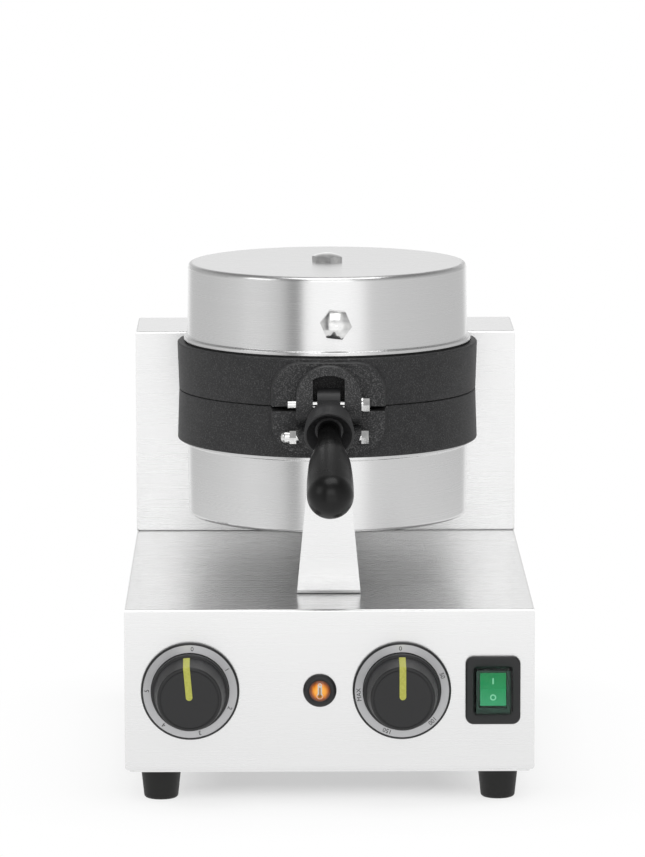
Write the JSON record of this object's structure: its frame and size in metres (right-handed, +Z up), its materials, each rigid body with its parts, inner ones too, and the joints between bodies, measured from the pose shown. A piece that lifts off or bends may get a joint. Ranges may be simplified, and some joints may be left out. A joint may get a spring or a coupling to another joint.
{
  "type": "ufo burger press",
  "caption": "Countertop press that seals filled buns in two round heated moulds, with a hinged lid, a latching handle, a timer, a thermostat and a switch.",
  "frame": {"origin": "on the floor the feet stand on, under the middle of the whole footprint from the handle's tip to the cable gland", "axes": "+X to the user's right, +Y from the handle to the back, +Z up"},
  "size_m": [0.25, 0.4712, 0.3231],
  "materials": {
    "sheet": "brushed stainless",
    "drum": "brushed round, satin",
    "cast": "fine sand-cast texture, dark grey",
    "fastener": "bright",
    "rubber": "matte",
    "black_plastic": "fine grain",
    "grip": "polished",
    "dial": "satin",
    "pointer": "satin",
    "lens": "clear amber",
    "rocker": "gloss",
    "boot": "clear",
    "control_case": "moulded",
    "shaft": "turned",
    "element": "dull",
    "copper": "plain",
    "insulation": "pressed fibre"
  },
  "bodies": {
    "cabinet": {"base_shell": "sheet", "bottom_plate": "sheet", "bracket_bolts": "fastener", "cable_gland": "black_plastic", "earth_stud": "copper", "feet": "rubber", "foot_nuts": "fastener", "foot_screws": "fastener", "gland_nut": "black_plastic", "hinge_clip": "fastener", "hinge_pin": "fastener", "housing_screws": "fastener", "latch_bolt": "fastener", "latch_nut": "fastener", "lead_tube": "fastener", "lead_tube_nuts": "fastener", "lower_cap_nuts": "fastener", "lower_casting": "cast", "lower_cover": "drum", "lower_element": "element", "lower_insulation": "insulation", "lower_side_screw": "fastener", "lower_stud": "fastener", "pilot_bezel": "black_plastic", "pilot_lens": "lens", "pilot_nut": "black_plastic", "rear_bracket": "sheet", "rear_panel": "sheet", "sensor_bulb": "copper", "support_bracket": "sheet", "switch_boot": "boot", "switch_frame": "black_plastic", "terminal_block": "control_case", "thermostat_body": "control_case", "thermostat_dial_rim": "black_plastic", "thermostat_dial_ring": "dial", "timer_body": "control_case", "timer_dial_rim": "black_plastic", "timer_dial_ring": "dial", "tower_cover": "sheet", "tower_grommet": "rubber"},
    "lid": {"upper_casting": "cast", "upper_cover": "drum", "upper_insulation": "insulation", "upper_element": "element", "upper_stud": "fastener", "upper_side_screw": "fastener", "upper_cap_nuts": "fastener", "lid_grommet": "rubber", "pivot_bolt": "fastener"},
    "handle": {"handle_arm": "cast", "handle_grip": "grip"},
    "timer_control": {"timer_knob": "black_plastic", "timer_pointer": "pointer", "timer_shaft": "shaft"},
    "thermostat_control": {"thermostat_knob": "black_plastic", "thermostat_pointer": "pointer", "thermostat_shaft": "shaft"},
    "rocker": {"rocker": "rocker"}
  },
  "joints": [
    {"name": "lid_hinge", "type": "hinge", "parent": "cabinet", "child": "lid", "pos_m": [0, 0.10443, 0.242], "axis": [-1, 0, 0], "range_deg": [0, 95]},
    {"name": "handle_pivot", "type": "hinge", "parent": "lid", "child": "handle", "pos_m": [0, -0.11357, 0.2415], "axis": [-1, 0, 0], "range_deg": [0, 50]},
    {"name": "timer_turn", "type": "hinge", "parent": "cabinet", "child": "timer_control", "pos_m": [-0.085, -0.15157, 0.071], "axis": [0, 1, 0], "range_deg": [0, 276]},
    {"name": "thermostat_turn", "type": "hinge", "parent": "cabinet", "child": "thermostat_control", "pos_m": [0.044, -0.15157, 0.071], "axis": [0, 1, 0], "range_deg": [0, 265]},
    {"name": "rocker_tip", "type": "hinge", "parent": "cabinet", "child": "rocker", "pos_m": [0.0995, -0.14737, 0.071], "axis": [1, 0, 0], "range_deg": [0, 14]}
  ]
}
